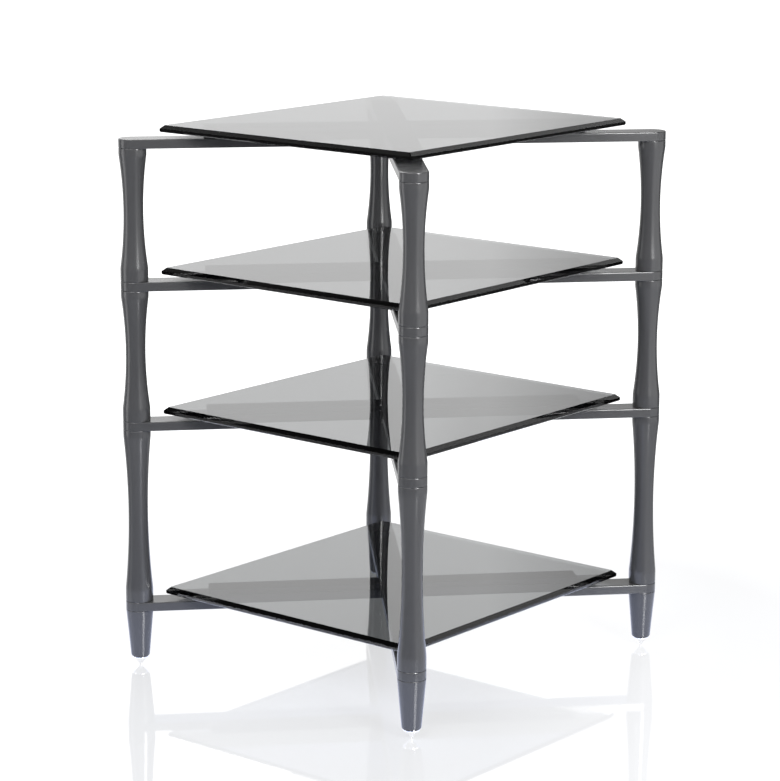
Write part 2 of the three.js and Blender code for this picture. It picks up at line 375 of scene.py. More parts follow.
def studio_world():
    """White to the camera, a backdrop and a dim ceiling in mirrors, and a low fill as light."""
    world = bpy.data.worlds.new("studio")
    world.use_nodes = True
    tree = world.node_tree
    sight = add_node(tree, "TexCoord").outputs["Generated"]
    height = add_node(tree, "SeparateXYZ")
    tree.links.new(sight, height.inputs["Vector"])
    ceiling = spread(tree, height.outputs["Z"], CEILING_START, CEILING_FULL, 1.0, CEILING_DIM)
    white = spread(tree, height.outputs["Z"], *BACKDROP_HEIGHTS, *BACKDROP_WHITES)
    backdrop = spread(tree, backdrop_share(tree, sight), 0, 1, STUDIO_DIM, 1)
    backdrop = combine(tree, "MULTIPLY", backdrop, white)
    path = add_node(tree, "LightPath").outputs
    in_mirrors = combine(tree, "MULTIPLY", backdrop, path["Is Glossy Ray"])
    in_glass = combine(tree, "MAXIMUM", in_mirrors, path["Is Transmission Ray"])
    dimmed = combine(tree, "MULTIPLY", in_glass, ceiling)
    strength = combine(tree, "MAXIMUM", path["Is Camera Ray"], dimmed)
    seen = seen_directly(tree)
    fill = combine(tree, "MULTIPLY", combine(tree, "SUBTRACT", 1, seen), AMBIENT)
    total = combine(tree, "ADD", combine(tree, "MULTIPLY", strength, seen), fill)
    surface = tree.nodes["Background"]
    surface.inputs["Color"].default_value = (1, 1, 1, 1)
    tree.links.new(total, surface.inputs["Strength"])
    return world


bpy.context.scene.world = studio_world()
print("world fill", AMBIENT)

# %% [markdown]
# The soft boxes shape the legs. The streak box hangs high to the right of the camera: it makes the
# streak where a column flares, the bright line along the top edge of the right-hand bars, and its
# mirror image in the floor lights the tapered feet. It only shows in what is glossy, and the key
# box below it gives the light that goes with it. A wide low box on the right lifts the right half
# of each leg, and a near one on the left draws its left rim. Two fills light the left sides, a
# back box lights the far ones, and a faint side box greys the bevel along the front of the glass.

# %% Soft boxes
def soft_box(name, place, look_at, width, height, watts):
    """A rectangular lamp at a place, turned to face another."""
    lamp = bpy.data.lights.new(name, "AREA")
    lamp.shape = "RECTANGLE"
    lamp.size = width
    lamp.size_y = height
    lamp.energy = watts
    box = link(bpy.data.objects.new(name, lamp))
    box.location = place
    box.rotation_mode = "QUATERNION"
    box.rotation_quaternion = (Vector(look_at) - Vector(place)).to_track_quat("-Z", "Y")
    box.visible_camera = False
    return box


RACK_MIDDLE = (cad_low + cad_high) / 2
STREAK_PLACE = (-1.02, -3.14, 2.6)
streak_box = soft_box("streak box", STREAK_PLACE, RACK_MIDDLE, width=1.1, height=2.9, watts=300)
streak_box.visible_diffuse = False
soft_box("key box", (-1.02, -3.14, 1.95), RACK_MIDDLE, width=1.0, height=1.4, watts=60)
low_box = soft_box("low box", (0.48, -1.9, 0.55), RACK_MIDDLE, width=3.2, height=1.5, watts=18)
left_box = soft_box("left box", (-1.3, 1.2, 0.8), (-0.2, 0.1, 0.6), width=0.6, height=1.5, watts=6)
soft_box("front fill", (-2.3, -0.9, 2.3), RACK_MIDDLE, width=1.2, height=1.2, watts=37)
soft_box("left fill", (-1.9, 0.2, 2.0), (-0.3, 0.1, 0.5), width=1.2, height=1.0, watts=16)
soft_box("side box", (2.05, -0.75, 2.35), (0, -0.3, 0.8), width=1.0, height=1.5, watts=3.3)
soft_box("back box", (1.3, 1.9, 2.5), RACK_MIDDLE, width=1.3, height=1.3, watts=30)

# %% [markdown]
# ## Effects that the finishes share
#
# No factory surface is one flat colour. Three effects come back in several finishes, so each is a
# node group, built once and placed with its own values: the fine grain of a coat, the rings that a
# lathe leaves, and the dust that settles on what faces up.

# %% Shader groups
FLOAT = "NodeSocketFloat"
VECTOR = "NodeSocketVector"
DUST_SLOPES = (0.7, 1.0)
DUST_PATCHES = (0.35, 0.75)


def new_group(name, inputs, outputs):
    """An empty shader node group with the named sockets, and its two end nodes."""
    tree = bpy.data.node_groups.new(name, "ShaderNodeTree")
    for socket, kind in inputs.items():
        tree.interface.new_socket(socket, in_out="INPUT", socket_type=kind)
    for socket in outputs:
        tree.interface.new_socket(socket, in_out="OUTPUT", socket_type=FLOAT)
    return tree, tree.nodes.new("NodeGroupInput"), tree.nodes.new("NodeGroupOutput")


def make_fine_grain():
    """Grain is a fine bump height, and Mottle is a slow drift from 0 to 1."""
    inputs = {"Vector": VECTOR, "Grain Scale": FLOAT, "Mottle Scale": FLOAT}
    tree, start, end = new_group("Fine grain", inputs, ["Grain", "Mottle"])
    for output, scale, detail in (("Grain", "Grain Scale", 3.0), ("Mottle", "Mottle Scale", 4.0)):
        noise = add_node(tree, "TexNoise", Detail=detail, Roughness=0.55)
        tree.links.new(start.outputs["Vector"], noise.inputs["Vector"])
        tree.links.new(start.outputs[scale], noise.inputs["Scale"])
        tree.links.new(noise.outputs["Fac"], end.inputs[output])
    return tree


def make_lathe_rings():
    """Rings is a fine bump height that repeats along Z, a little uneven as a tool leaves it."""
    inputs = {"Vector": VECTOR, "Rings per Metre": FLOAT}
    tree, start, end = new_group("Lathe rings", inputs, ["Rings"])
    wave = add_node(
        tree, "TexWave", wave_type="BANDS", bands_direction="Z", wave_profile="SIN",
        Distortion=0.6, Detail=2.0, Detail_Scale=0.4,
    )
    tree.links.new(start.outputs["Vector"], wave.inputs["Vector"])
    tree.links.new(start.outputs["Rings per Metre"], wave.inputs["Scale"])
    tree.links.new(wave.outputs["Fac"], end.inputs["Rings"])
    return tree


def make_settled_dust():
    """Dust is a mask from 0 to 1 on faces that look up, broken up by a noise."""
    inputs = {"Vector": VECTOR, "Normal": VECTOR, "Amount": FLOAT}
    tree, start, end = new_group("Settled dust", inputs, ["Dust"])
    split = add_node(tree, "SeparateXYZ")
    tree.links.new(start.outputs["Normal"], split.inputs["Vector"])
    upward = spread(tree, split.outputs["Z"], *DUST_SLOPES, 0, 1)
    noise = add_node(tree, "TexNoise", Scale=38.0, Detail=6.0, Roughness=0.7)
    tree.links.new(start.outputs["Vector"], noise.inputs["Vector"])
    patches = spread(tree, noise.outputs["Fac"], *DUST_PATCHES, 0, 1)
    settled = combine(tree, "MULTIPLY", patches, upward)
    dust = combine(tree, "MULTIPLY", settled, start.outputs["Amount"])
    tree.links.new(dust, end.inputs["Dust"])
    return tree


FINE_GRAIN = make_fine_grain()
LATHE_RINGS = make_lathe_rings()
SETTLED_DUST = make_settled_dust()
print("groups", [tree.name for tree in bpy.data.node_groups])

# %% [markdown]
# ## Finishes
#
# Each finish is its own short function, and each reads Object coordinates, so that the pattern
# stays on the piece when the piece moves. What they share is in a few helpers: one starts a
# material, one places a group in it, and the others drive a socket from a group's output.

# %% Material helpers
def start_material(name, colour, metallic=0.0):
    """A Principled material of one plain colour, and what its patterns are linked to."""
    material = bpy.data.materials.new(name)
    material.use_nodes = True
    tree = material.node_tree
    surface = tree.nodes["Principled BSDF"]
    surface.inputs["Base Color"].default_value = (*colour, 1)
    surface.inputs["Metallic"].default_value = metallic
    where = add_node(tree, "TexCoord")
    return material, tree, surface, where


def place_group(tree, group_tree, where, **values):
    """A group in a material, on Object coordinates, with its own values."""
    node = tree.nodes.new("ShaderNodeGroup")
    node.node_tree = group_tree
    tree.links.new(where.outputs["Object"], node.inputs["Vector"])
    if "Normal" in node.inputs:
        tree.links.new(where.outputs["Normal"], node.inputs["Normal"])
    for name, value in values.items():
        node.inputs[name.replace("_", " ")].default_value = value
    return node


def blend_values(tree, factor, low, high, target):
    """Drives a socket between two values. Where its link can't be read, their middle holds."""
    target.default_value = (low + high) / 2
    tree.links.new(spread(tree, factor, 0, 1, low, high), target)


def bump(tree, height, surface, distance, strength):
    """Roughens a surface by a height, without moving its faces."""
    node = add_node(tree, "Bump", Strength=strength, Distance=distance)
    tree.links.new(height, node.inputs["Height"])
    tree.links.new(node.outputs["Normal"], surface.inputs["Normal"])


print("material helpers ready")

# %% [markdown]
# The frame has a satin anthracite coat over aluminium: nearly neutral grey, a touch cooler low
# down where it takes in the floor. A dielectric coat is a Principled surface with no metal in it,
# because the light never reaches the metal below. Its grain is too fine to see, but it softens
# what the coat mirrors.

# %% Anthracite coat
ANTHRACITE = (0.064, 0.064, 0.066)
ANTHRACITE_DARK = (0.059, 0.059, 0.061)
ANTHRACITE_DUSTED = (0.13, 0.13, 0.13)
COAT_ROUGHNESS = (0.20, 0.25)


def anthracite_coat():
    material, tree, surface, where = start_material("anthracite coat", ANTHRACITE)
    grain = place_group(tree, FINE_GRAIN, where, Grain_Scale=900.0, Mottle_Scale=14.0)
    dust = place_group(tree, SETTLED_DUST, where, Amount=0.12)
    coat = blend_colours(tree, grain.outputs["Mottle"], ANTHRACITE_DARK, ANTHRACITE)
    blend_colours(tree, dust.outputs["Dust"], coat, ANTHRACITE_DUSTED, surface.inputs["Base Color"])
    blend_values(tree, grain.outputs["Mottle"], *COAT_ROUGHNESS, surface.inputs["Roughness"])
    bump(tree, grain.outputs["Grain"], surface, distance=0.04 * MM, strength=0.35)
    return material


COAT = anthracite_coat()
print("made", COAT.name)

# %% [markdown]
# Smoked glass is clear glass with a dye in its body, so it darkens with the length of the path
# through it: pale where one looks straight down, deep at a low angle, and nearly black in the
# bevel. A tinted surface could not do that. The dye is a Volume Absorption inside the closed mesh.

# %% Smoked glass
GLASS_DYE = (0.31, 0.325, 0.33)
GLASS_DYE_DENSITY = 150.0
GLASS_REFRACTION = 1.52
GLASS_ROUGHNESS = (0.0, 0.02)
CLEAR = (1, 1, 1)


def smoked_glass():
    material, tree, surface, where = start_material("smoked glass", CLEAR)
    surface.inputs["Transmission Weight"].default_value = 1.0
    surface.inputs["IOR"].default_value = GLASS_REFRACTION
    dust = place_group(tree, SETTLED_DUST, where, Amount=0.5)
    blend_values(tree, dust.outputs["Dust"], *GLASS_ROUGHNESS, surface.inputs["Roughness"])
    dye = add_node(tree, "VolumeAbsorption", Color=(*GLASS_DYE, 1), Density=GLASS_DYE_DENSITY)
    tree.links.new(dye.outputs["Volume"], tree.nodes["Material Output"].inputs["Volume"])
    return material


GLASS = smoked_glass()
print("made", GLASS.name)

# %% [markdown]
# The rest strips are dark and matt, with a fine leathery grain. The spikes are turned from steel
# and polished, so faint rings from the lathe show in the reflections. The studs keep a dull zinc
# plate, whose crystals give it a soft patchwork.

# %% Strips, spikes and studs
STRIP_DARK = (0.035, 0.035, 0.037)
STRIP_PALE = (0.05, 0.05, 0.052)
STEEL = (0.83, 0.83, 0.84)
ZINC_DARK = (0.42, 0.43, 0.45)
ZINC_PALE = (0.58, 0.59, 0.61)
STRIP_ROUGHNESS = (0.6, 0.8)
STEEL_ROUGHNESS = (0.08, 0.18)
ZINC_ROUGHNESS = (0.34, 0.5)


def rest_strip_rubber():
    material, tree, surface, where = start_material("rest strip rubber", STRIP_DARK)
    grain = place_group(tree, FINE_GRAIN, where, Grain_Scale=1400.0, Mottle_Scale=30.0)
    blend_colours(tree, grain.outputs["Mottle"], STRIP_DARK, STRIP_PALE, surface.inputs["Base Color"])
    blend_values(tree, grain.outputs["Mottle"], *STRIP_ROUGHNESS, surface.inputs["Roughness"])
    bump(tree, grain.outputs["Grain"], surface, distance=0.15 * MM, strength=0.6)
    return material


def polished_steel():
    material, tree, surface, where = start_material("polished steel", STEEL, metallic=1.0)
    rings = place_group(tree, LATHE_RINGS, where, Rings_per_Metre=900.0)
    grain = place_group(tree, FINE_GRAIN, where, Grain_Scale=600.0, Mottle_Scale=90.0)
    blend_values(tree, grain.outputs["Mottle"], *STEEL_ROUGHNESS, surface.inputs["Roughness"])
    bump(tree, rings.outputs["Rings"], surface, distance=0.01 * MM, strength=0.3)
    return material


def zinc_plate():
    material, tree, surface, where = start_material("zinc plate", ZINC_PALE, metallic=1.0)
    grain = place_group(tree, FINE_GRAIN, where, Grain_Scale=700.0, Mottle_Scale=220.0)
    rings = place_group(tree, LATHE_RINGS, where, Rings_per_Metre=1500.0)
    blend_colours(tree, grain.outputs["Mottle"], ZINC_DARK, ZINC_PALE, surface.inputs["Base Color"])
    blend_values(tree, grain.outputs["Mottle"], *ZINC_ROUGHNESS, surface.inputs["Roughness"])
    bump(tree, rings.outputs["Rings"], surface, distance=0.01 * MM, strength=0.2)
    return material


RUBBER = rest_strip_rubber()
POLISHED = polished_steel()
ZINC = zinc_plate()
print("made", RUBBER.name, POLISHED.name, ZINC.name)

# %% [markdown]
# ## From a bmesh to a finished piece
#
# Every piece is built as a bmesh and finished in one way: its doubles are merged, its faces turned
# outwards, its sharp angles kept, and it takes the place of a CAD node and moves with its body.
# Smooth normals would bend far into a wide face where a narrow rounding meets it, and a streak of
# light along a leg would swell at its ends. So on most pieces the larger faces set the normals.

# %% Finish a piece
MERGE_DISTANCE = 0.001 * MM
SHARP_DEGREES = 35


def finish_piece(shape, name, node, material, sharp_degrees=SHARP_DEGREES):
    """Turns a bmesh into a smooth shaded piece that stands for a CAD node and moves with it."""
    bmesh.ops.remove_doubles(shape, verts=shape.verts, dist=MERGE_DISTANCE)
    bmesh.ops.recalc_face_normals(shape, faces=shape.faces)
    mesh = bpy.data.meshes.new(name)
    shape.to_mesh(mesh)
    shape.free()
    mesh.polygons.foreach_set("use_smooth", [True] * len(mesh.polygons))
    mesh.set_sharp_from_angle(angle=math.radians(sharp_degrees))
    mesh.materials.append(material)
    piece = link(bpy.data.objects.new(name, mesh))
    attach(piece, body_of_node[node])
    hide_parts(node)
    return piece


def flat_shading(piece):
    """Lets the larger faces set the normals, so that flat and slowly curved faces shade evenly."""
    weighted = piece.modifiers.new("flat faces", "WEIGHTED_NORMAL")
    weighted.keep_sharp = True


def stand_on_leg(make_shape, leg, node):
    """A shape with the radius and height of a node, moved to its place on the axis of a leg."""
    low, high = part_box(node)
    shape = make_shape((high.x - low.x) / 2, high.z - low.z)
    bmesh.ops.translate(shape, verts=shape.verts, vec=leg_axes[leg] + Vector((0, 0, low.z)))
    return shape


def closed(shape):
    """Whether a bmesh has no hole, loose edge or inner face."""
    return all(edge.is_manifold for edge in shape.edges)


def count_made(start):
    """How many objects there are whose name starts so."""
    return sum(item.name.startswith(start) for item in bpy.data.objects)


print("angles above", SHARP_DEGREES, "degrees stay sharp")

# %% [markdown]
# ## Turned pieces
#
# Columns, feet and spikes come off a lathe, so each is one profile spun about its axis. The
# profile is a chain of a few vertices. Its corners are rounded while it is still a wire, with a
# vertex bevel, and the spin then carries each rounding right round the piece.

# %% Spin a profile
SPIN_STEPS = 72
CORNER_SEGMENTS = 4


def chain(shape, points):
    """A wire of edges through (radius, height) points in the XZ plane."""
    verts = [shape.verts.new((radius, 0, height)) for radius, height in points]
    for a, b in zip(verts, verts[1:]):
        shape.edges.new((a, b))
    return verts


def round_corners(shape, corners, radius, segments=CORNER_SEGMENTS):
    """Rounds the given vertices of a wire."""
    bmesh.ops.bevel(
        shape, geom=corners, offset=radius, offset_type="OFFSET", affect="VERTICES",
        segments=segments, profile=0.5, material=-1,
    )


def spin_profile(shape):
    """Spins a wire right round the Z axis, and closes the poles."""
    bmesh.ops.spin(
        shape, geom=shape.verts[:] + shape.edges[:], cent=(0, 0, 0), axis=(0, 0, 1),
        angle=math.tau, steps=SPIN_STEPS, use_merge=True, use_duplicate=False,
    )
    bmesh.ops.remove_doubles(shape, verts=shape.verts, dist=MERGE_DISTANCE)


test = bmesh.new()
wire = chain(test, [(0, 0), (20 * MM, 0), (20 * MM, 50 * MM), (0, 50 * MM)])
round_corners(test, wire[1:3], 1 * MM)
spin_profile(test)
print("a spun test plug has", len(test.faces), "faces, closed:", closed(test))
test.free()

# %% [markdown]
# A column is a spool: a straight collar at each end, the lower one longer, and between them one
# long arc that draws in to the waist. The arc meets the collar with a soft shoulder that catches
# the light. Both ends are bored for the stud that clamps the leg together.

# %% Columns
WAIST_DIAMETER = 34.2 * MM
UPPER_COLLAR = 12.0 * MM
LOWER_COLLAR = 22.0 * MM
COLLAR_ROUNDING = 1.2 * MM
SHOULDER_ROUNDING = 2.5 * MM
STUD_BORE_RADIUS = 5.3 * MM
STUD_BORE_DEPTH = 22.8 * MM
SHOULDER_SEGMENTS = 3
WAIST_ROWS = 26
COLUMN_ROWS = (1, 2, 3)


def waist_arc(rim, length):
    """Points on the arc from the top of the lower collar to the foot of the upper one."""
    half = (length - LOWER_COLLAR - UPPER_COLLAR) / 2
    swell = rim - WAIST_DIAMETER / 2
    curve = (half ** 2 + swell ** 2) / (2 * swell)
    points = []
    for row in range(WAIST_ROWS + 1):
        offset = half * (2 * row / WAIST_ROWS - 1)
        radius = WAIST_DIAMETER / 2 + curve - math.sqrt(curve ** 2 - offset ** 2)
        points.append((radius, LOWER_COLLAR + half + offset))
    return points


def column_shape(rim, length):
    """A column that stands on the origin."""
    shape = bmesh.new()
    below = [(0, STUD_BORE_DEPTH), (STUD_BORE_RADIUS, STUD_BORE_DEPTH), (STUD_BORE_RADIUS, 0)]
    above = [(radius, length - height) for radius, height in reversed(below)]
    wire = chain(shape, [*below, (rim, 0), *waist_arc(rim, length), (rim, length), *above])
    foot_rim, *arc, top_rim = wire[len(below):-len(above)]
    round_corners(shape, [foot_rim, top_rim], COLLAR_ROUNDING)
    round_corners(shape, [arc[0], arc[-1]], SHOULDER_ROUNDING, SHOULDER_SEGMENTS)
    spin_profile(shape)
    return shape


for leg in LEGS:
    for row in COLUMN_ROWS:
        node = f"column_{leg}_{row}"
        shape = stand_on_leg(column_shape, leg, node)
        name = f"waisted_column_{leg}_{row}"
        flat_shading(finish_piece(shape, name, node, COAT))
print(count_made("waisted_column"), "columns made")

# %% [markdown]
# A foot starts as wide as the collars and tapers all the way down to a rounded toe. It is bored
# from below for the stem of the spike, and from above for the stud.

# %% Feet
FOOT_TOE_DIAMETER = 32.4 * MM
FOOT_TOE_ROUNDING, FOOT_TOE_SEGMENTS = 4.0 * MM, 6
STEM_BORE_DEPTH = 34.8 * MM


def foot_shape(rim, length):
    """A foot that stands on the origin."""
    shape = bmesh.new()
    seat = length - STUD_BORE_DEPTH
    below = [(0, STEM_BORE_DEPTH), (STUD_BORE_RADIUS, STEM_BORE_DEPTH), (STUD_BORE_RADIUS, 0)]
    above = [(STUD_BORE_RADIUS, length), (STUD_BORE_RADIUS, seat), (0, seat)]
    wire = chain(shape, [*below, (FOOT_TOE_DIAMETER / 2, 0), (rim, length), *above])
    toe, top_rim = wire[len(below):-len(above)]
    round_corners(shape, [toe], FOOT_TOE_ROUNDING, FOOT_TOE_SEGMENTS)
    round_corners(shape, [top_rim], COLLAR_ROUNDING)
    spin_profile(shape)
    return shape


for leg in LEGS:
    node = f"foot_{leg}"
    shape = stand_on_leg(foot_shape, leg, node)
    flat_shading(finish_piece(shape, f"tapered_foot_{leg}", node, COAT))
print(count_made("tapered_foot"), "feet made")

# %% [markdown]
# ## Threads
#
# The spikes turn in their feet on a thread, and a threaded stud runs through each bar end. A
# thread is a saw-tooth wire spun with a climb: one turn lifts it by exactly one pitch, so its last
# row lands on its first row one tooth higher, and merging them closes the helix. Both ends are
# then cut flat and filled, and drawn in to a chamfer.

# %% Threaded rod
THREAD_PITCH = 1.5 * MM
THREAD_DEPTH = 0.9 * MM
THREAD_CREST = (0.44, 0.56)
THREAD_CHAMFER = 1.0 * MM
THREAD_STEPS = 20
THREAD_MERGE = 0.01 * MM
TEETH_BELOW, TEETH_SPARE = 2, 3


def threaded_rod(diameter, low, high):
    """A threaded rod about the Z axis, cut flat at both heights."""
    shape = bmesh.new()
    crest, root = diameter / 2, diameter / 2 - THREAD_DEPTH
    points = []
    for tooth in range(math.ceil((high - low) / THREAD_PITCH) + TEETH_SPARE):
        base = low + (tooth - TEETH_BELOW) * THREAD_PITCH
        points.append((root, base))
        points += [(crest, base + share * THREAD_PITCH) for share in THREAD_CREST]
    points.append((root, base + THREAD_PITCH))
    chain(shape, points)
    bmesh.ops.spin(
        shape, geom=shape.verts[:] + shape.edges[:], cent=(0, 0, 0), axis=(0, 0, 1),
        dvec=(0, 0, THREAD_PITCH / THREAD_STEPS), angle=math.tau, steps=THREAD_STEPS,
        use_merge=False, use_duplicate=False,
    )
    bmesh.ops.remove_doubles(shape, verts=shape.verts, dist=THREAD_MERGE)
    for height, upward in ((low, -1), (high, 1)):
        everything = shape.verts[:] + shape.edges[:] + shape.faces[:]
        bmesh.ops.bisect_plane(
            shape, geom=everything, plane_co=(0, 0, height), plane_no=(0, 0, upward),
            clear_outer=True,
        )
    open_edges = [edge for edge in shape.edges if edge.is_boundary]
    bmesh.ops.holes_fill(shape, edges=open_edges, sides=0)
    for vert in shape.verts:
        from_end = min(vert.co.z - low, high - vert.co.z)
        limit = crest - THREAD_CHAMFER + from_end
        radius = vert.co.xy.length
        if radius > limit:
            vert.co.xy *= limit / radius
    return shape


test = threaded_rod(10 * MM, 0, 30 * MM)
print("a 30 mm rod has", len(test.faces), "faces, closed:", closed(test))
test.free()

# %% [markdown]
# One stud runs through each bar end, into the column or foot below it and the column above it, and
# clamps them together. It is hidden as long as the leg is whole.

# %% Studs
STUD_DIAMETER = 10.0 * MM

for leg in LEGS:
    for tier in TIERS:
        node = f"stud_{leg}_{tier}"
        low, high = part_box(node)
        shape = threaded_rod(STUD_DIAMETER, low.z, high.z)
        bmesh.ops.translate(shape, verts=shape.verts, vec=leg_axes[leg])
        finish_piece(shape, f"threaded_stud_{leg}_{tier}", node, ZINC)
print(count_made("threaded_stud"), "studs made")

# %% [markdown]
# A levelling spike is a low polished cone. Its flank is slightly hollow, its rim is a short
# straight band, and its tip is blunt enough not to cut the floor.

# %% Spikes
SPIKE_HEIGHT = 16.0 * MM
SPIKE_RIM_HEIGHT = 2.5 * MM
SPIKE_TIP_DIAMETER = 3.0 * MM
SPIKE_HOLLOW = 1.2 * MM
SPIKE_RIM_ROUNDING, SPIKE_RIM_SEGMENTS = 0.5 * MM, 3
SPIKE_ROWS = 10
STEM_DIAMETER = 10.0 * MM
STEM_SEAT = 1.0 * MM


def spike_shape(rim, height):
    """A spike that stands on the origin, with its threaded stem."""
    shape = bmesh.new()
    tip = SPIKE_TIP_DIAMETER / 2
    cone_top = SPIKE_HEIGHT - SPIKE_RIM_HEIGHT
    flank = []
    for row in range(SPIKE_ROWS + 1):
        share = row / SPIKE_ROWS
        hollow = 4 * share * (1 - share) * SPIKE_HOLLOW
        flank.append((tip + (rim - tip) * share - hollow, cone_top * share))
    wire = chain(shape, [(0, 0), *flank, (rim, SPIKE_HEIGHT), (0, SPIKE_HEIGHT)])
    rim_foot, rim_top = wire[-3:-1]
    round_corners(shape, [rim_foot, rim_top], SPIKE_RIM_ROUNDING, SPIKE_RIM_SEGMENTS)
    spin_profile(shape)
    thread = threaded_rod(STEM_DIAMETER, SPIKE_HEIGHT - STEM_SEAT, height)
    carrier = bpy.data.meshes.new("thread")
    thread.to_mesh(carrier)
    thread.free()
    shape.from_mesh(carrier)
    bpy.data.meshes.remove(carrier)
    return shape


for leg in LEGS:
    node = f"spike_{leg}"
    shape = stand_on_leg(spike_shape, leg, node)
    finish_piece(shape, f"levelling_spike_{leg}", node, POLISHED)
print(count_made("levelling_spike"), "spikes made")

# %% [markdown]
# ## Bars
#
# A crossbar is a flat bar with full round ends. A circle gives both ends: its two halves are
# pulled apart to the leg axes, and the stretched outline is extruded to the bar's thickness. The
# long edges are rounded, more on top than below.

# %% Bar blanks
BAR_WIDTH = 48.0 * MM
BAR_TOP_ROUNDING, BAR_TOP_SEGMENTS = 1.8 * MM, 5
BAR_FOOT_ROUNDING, BAR_FOOT_SEGMENTS = 1.5 * MM, 4
BAR_END_SEGMENTS = 64


def edges_at_height(shape, height):
    """The edges that lie level at a height."""
    return [
        edge for edge in shape.edges
        if all(abs(vert.co.z - height) < MERGE_DISTANCE for vert in edge.verts)
    ]


def bevel_edges(shape, edges, radius, segments):
    """Rounds the given edges."""
    bmesh.ops.bevel(
        shape, geom=edges, offset=radius, offset_type="OFFSET", affect="EDGES",
        segments=segments, profile=0.5, material=-1,
    )


def round_edges(shape, height, radius, segments):
    """Rounds the edges that lie level at a height."""
    bevel_edges(shape, edges_at_height(shape, height), radius, segments)


def bar_blank(span, thickness):
    """A bar along X, centred, whose ends are round about the two leg axes."""
    shape = bmesh.new()
    bmesh.ops.create_circle(shape, cap_ends=True, radius=BAR_WIDTH / 2, segments=BAR_END_SEGMENTS)
    half_step = Matrix.Rotation(math.pi / BAR_END_SEGMENTS, 3, "Z")
    bmesh.ops.rotate(shape, verts=shape.verts, cent=(0, 0, 0), matrix=half_step)
    for vert in shape.verts:
        vert.co.x += math.copysign(span / 2, vert.co.x)
    grown = bmesh.ops.extrude_face_region(shape, geom=shape.faces[:])
    lifted = [item for item in grown["geom"] if isinstance(item, bmesh.types.BMVert)]
    bmesh.ops.translate(shape, verts=lifted, vec=(0, 0, thickness))
    bmesh.ops.recalc_face_normals(shape, faces=shape.faces)
    round_edges(shape, thickness, BAR_TOP_ROUNDING, BAR_TOP_SEGMENTS)
    round_edges(shape, 0, BAR_FOOT_ROUNDING, BAR_FOOT_SEGMENTS)
    return shape


test = bar_blank(900 * MM, 24 * MM)
print("a bar blank has", len(test.faces), "faces, closed:", closed(test))
test.free()

# %% [markdown]
# The stud bores and the half lap are cut with a Boolean, which handles holes in a flat face
# cleanly where an operator would need its own grid. The blocks and cylinders to cut away are
# gathered in one cutter. The block of the lap is three widths long, to reach past both edges.

# %% Cuts
LAP_CLEARANCE = 0.3 * MM
LAP_LENGTH_IN_WIDTHS = 3
CUT_OVERRUN = 2.0 * MM
BORE_SEGMENTS = 32


def block(shape, size, centre, turn=0.0):
    """Adds a box of the given size to a bmesh, turned about Z."""
    made = bmesh.ops.create_cube(shape, size=1)["verts"]
    bmesh.ops.scale(shape, verts=made, vec=size)
    bmesh.ops.rotate(shape, verts=made, cent=(0, 0, 0), matrix=Matrix.Rotation(turn, 3, "Z"))
    bmesh.ops.translate(shape, verts=made, vec=centre)


def bore(shape, x, low, high):
    """Adds a cylinder for a stud bore to a bmesh."""
    made = bmesh.ops.create_cone(
        shape, cap_ends=True, segments=BORE_SEGMENTS, radius1=STUD_BORE_RADIUS,
        radius2=STUD_BORE_RADIUS, depth=high - low,
    )["verts"]
    bmesh.ops.translate(shape, verts=made, vec=(x, 0, (low + high) / 2))


def cut(shape, cutter):
    """The first bmesh less the second, as a new bmesh."""
    pair = []
    for part in (shape, cutter):
        mesh = bpy.data.meshes.new("cut")
        part.to_mesh(mesh)
        part.free()
        pair.append(link(bpy.data.objects.new("cut", mesh)))
    boolean = pair[0].modifiers.new("cut", "BOOLEAN")
    boolean.operation = "DIFFERENCE"
    boolean.solver = "EXACT"
    boolean.object = pair[1]
    evaluated = pair[0].evaluated_get(bpy.context.evaluated_depsgraph_get())
    carved = bpy.data.meshes.new_from_object(evaluated)
    result = bmesh.new()
    result.from_mesh(carved)
    for item in pair:
        bpy.data.meshes.remove(item.data)
    bpy.data.meshes.remove(carved)
    return result


def lap_block(cutter, layer, crossing, width, thickness):
    """Adds the block that halves a bar or strip where the other one crosses it."""
    low = thickness / 2 if layer == "lower" else -CUT_OVERRUN
    high = thickness + CUT_OVERRUN if layer == "lower" else thickness / 2
    size = (LAP_LENGTH_IN_WIDTHS * width, width + 2 * LAP_CLEARANCE, high - low)
    block(cutter, size, (0, 0, (low + high) / 2), crossing)


def across(layer):
    """The span of a layer's bar, its turn about Z, and the angle at which the other crosses it."""
    ends = {name: leg_axes[b] - leg_axes[a] for name, (a, b) in LAYERS.items()}
    turns = {name: math.atan2(line.y, line.x) for name, line in ends.items()}
    other = "upper" if layer == "lower" else "lower"
    return ends[layer].length, turns[layer], turns[other] - turns[layer]


def set_down(shape, turn, height):
    """Turns a bar or strip along its diagonal, and lifts it to its tier."""
    bmesh.ops.rotate(shape, verts=shape.verts, cent=(0, 0, 0), matrix=Matrix.Rotation(turn, 3, "Z"))
    bmesh.ops.translate(shape, verts=shape.verts, vec=(0, 0, height))


for layer in LAYERS:
    span, turn, crossing = across(layer)
    print(layer, "bars:", round(span, 3), "m span, crossed at", round(math.degrees(crossing), 1))

# %% [markdown]
# Each bar is bored at both ends and halved in the middle, then turned and set down at its tier. On
# the top tier the bores stop short of the upper face, because no column stands there.

# %% Crossbars
STUD_TOP_REACH = 11.8 * MM

